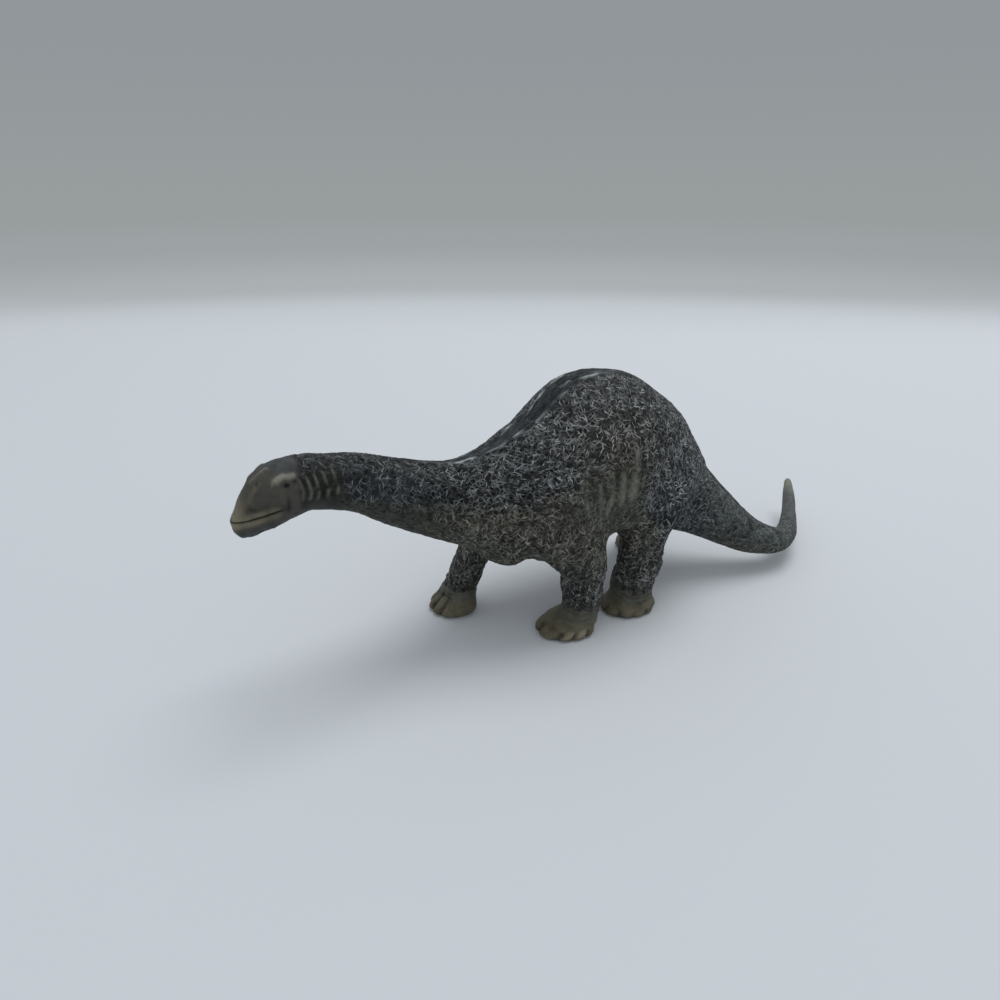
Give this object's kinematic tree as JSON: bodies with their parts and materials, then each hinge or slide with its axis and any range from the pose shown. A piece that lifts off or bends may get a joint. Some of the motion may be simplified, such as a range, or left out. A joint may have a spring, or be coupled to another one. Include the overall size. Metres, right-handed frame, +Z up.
{
  "type": "toy dinosaur figure",
  "caption": "Long-necked plant-eating dinosaur figure in moulded, painted vinyl, striding, with a raised back and a curled tail; it stands by itself on flat soles.",
  "frame": {"origin": "middle of the figure's box on the floor that it stands on", "axes": "+X towards the tail, -X towards the head, -Y towards the animal's left side, +Z up"},
  "size_m": [0.2996, 0.0648, 0.1041],
  "materials": {
    "trunk_skin": "textured vinyl, dark wash and pale dry-brushed ridges",
    "neck_skin": "textured vinyl, dark wash and pale dry-brushed ridges",
    "head_skin": "smooth painted vinyl",
    "jaw_skin": "smooth painted vinyl",
    "tail_skin": "textured vinyl, dark wash and pale dry-brushed ridges",
    "leg_skin": "textured vinyl, smoother and paler at the feet"
  },
  "bodies": {
    "root": {"trunk_left_shell": "trunk_skin", "trunk_right_shell": "trunk_skin", "neck": "neck_skin", "head": "head_skin", "lower_jaw": "jaw_skin", "tail": "tail_skin", "left_foreleg": "leg_skin", "right_foreleg": "leg_skin", "left_hindleg": "leg_skin", "right_hindleg": "leg_skin"}
  },
  "joints": []
}
